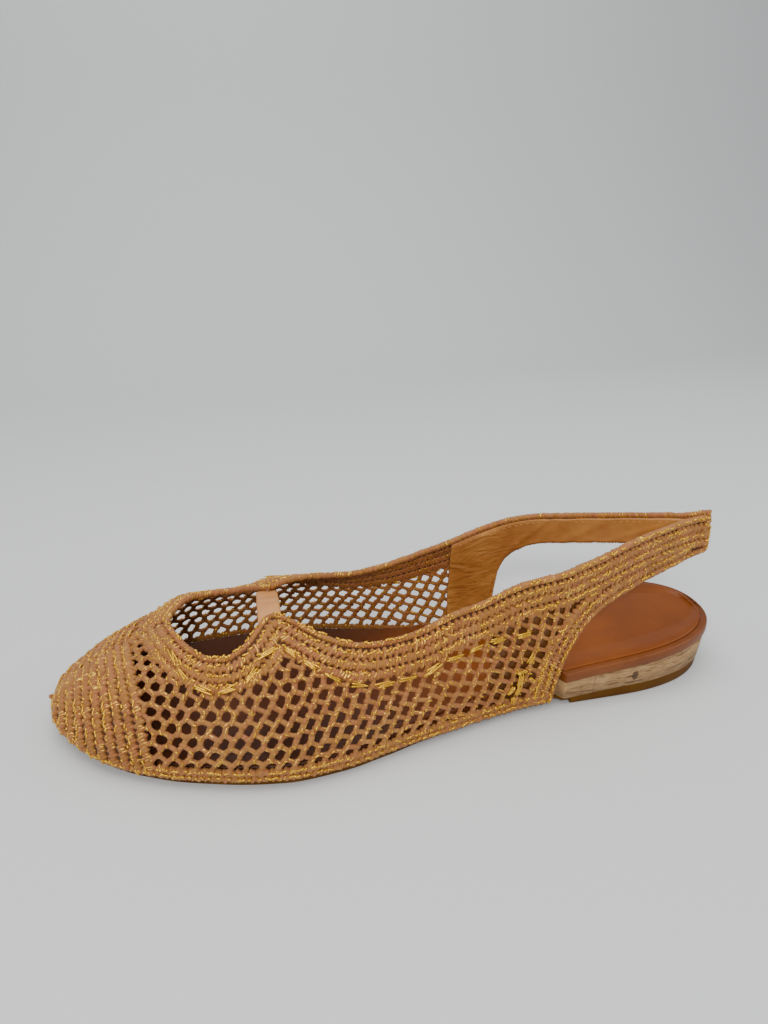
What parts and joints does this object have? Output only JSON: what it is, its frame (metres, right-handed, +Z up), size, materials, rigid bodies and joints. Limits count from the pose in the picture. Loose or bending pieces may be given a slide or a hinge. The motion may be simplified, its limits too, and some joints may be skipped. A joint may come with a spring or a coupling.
{
  "type": "slingback flat shoe",
  "caption": "Left slingback flat with an openwork crochet upper, a vamp cut-out bridged by a leather keeper, a cork wedge and a thin rubber outsole.",
  "frame": {"origin": "bottom centre of the shoe's bounding box, on the floor", "axes": "+X from the toe to the heel, +Y to the medial side, +Z up"},
  "size_m": [0.2726, 0.0964, 0.0641],
  "materials": {
    "outsole": "smooth caramel brown rubber",
    "wedge": "pressed natural cork",
    "footbed": "smooth tan leather",
    "sock": "smooth tan leather, lightly polished",
    "upper": "crocheted raffia with metallic thread",
    "keeper": "smooth light tan leather"
  },
  "bodies": {
    "root": {"outsole": "outsole", "wedge": "wedge", "footbed": "footbed", "sock": "sock", "upper": "upper", "keeper": "keeper"}
  },
  "joints": []
}
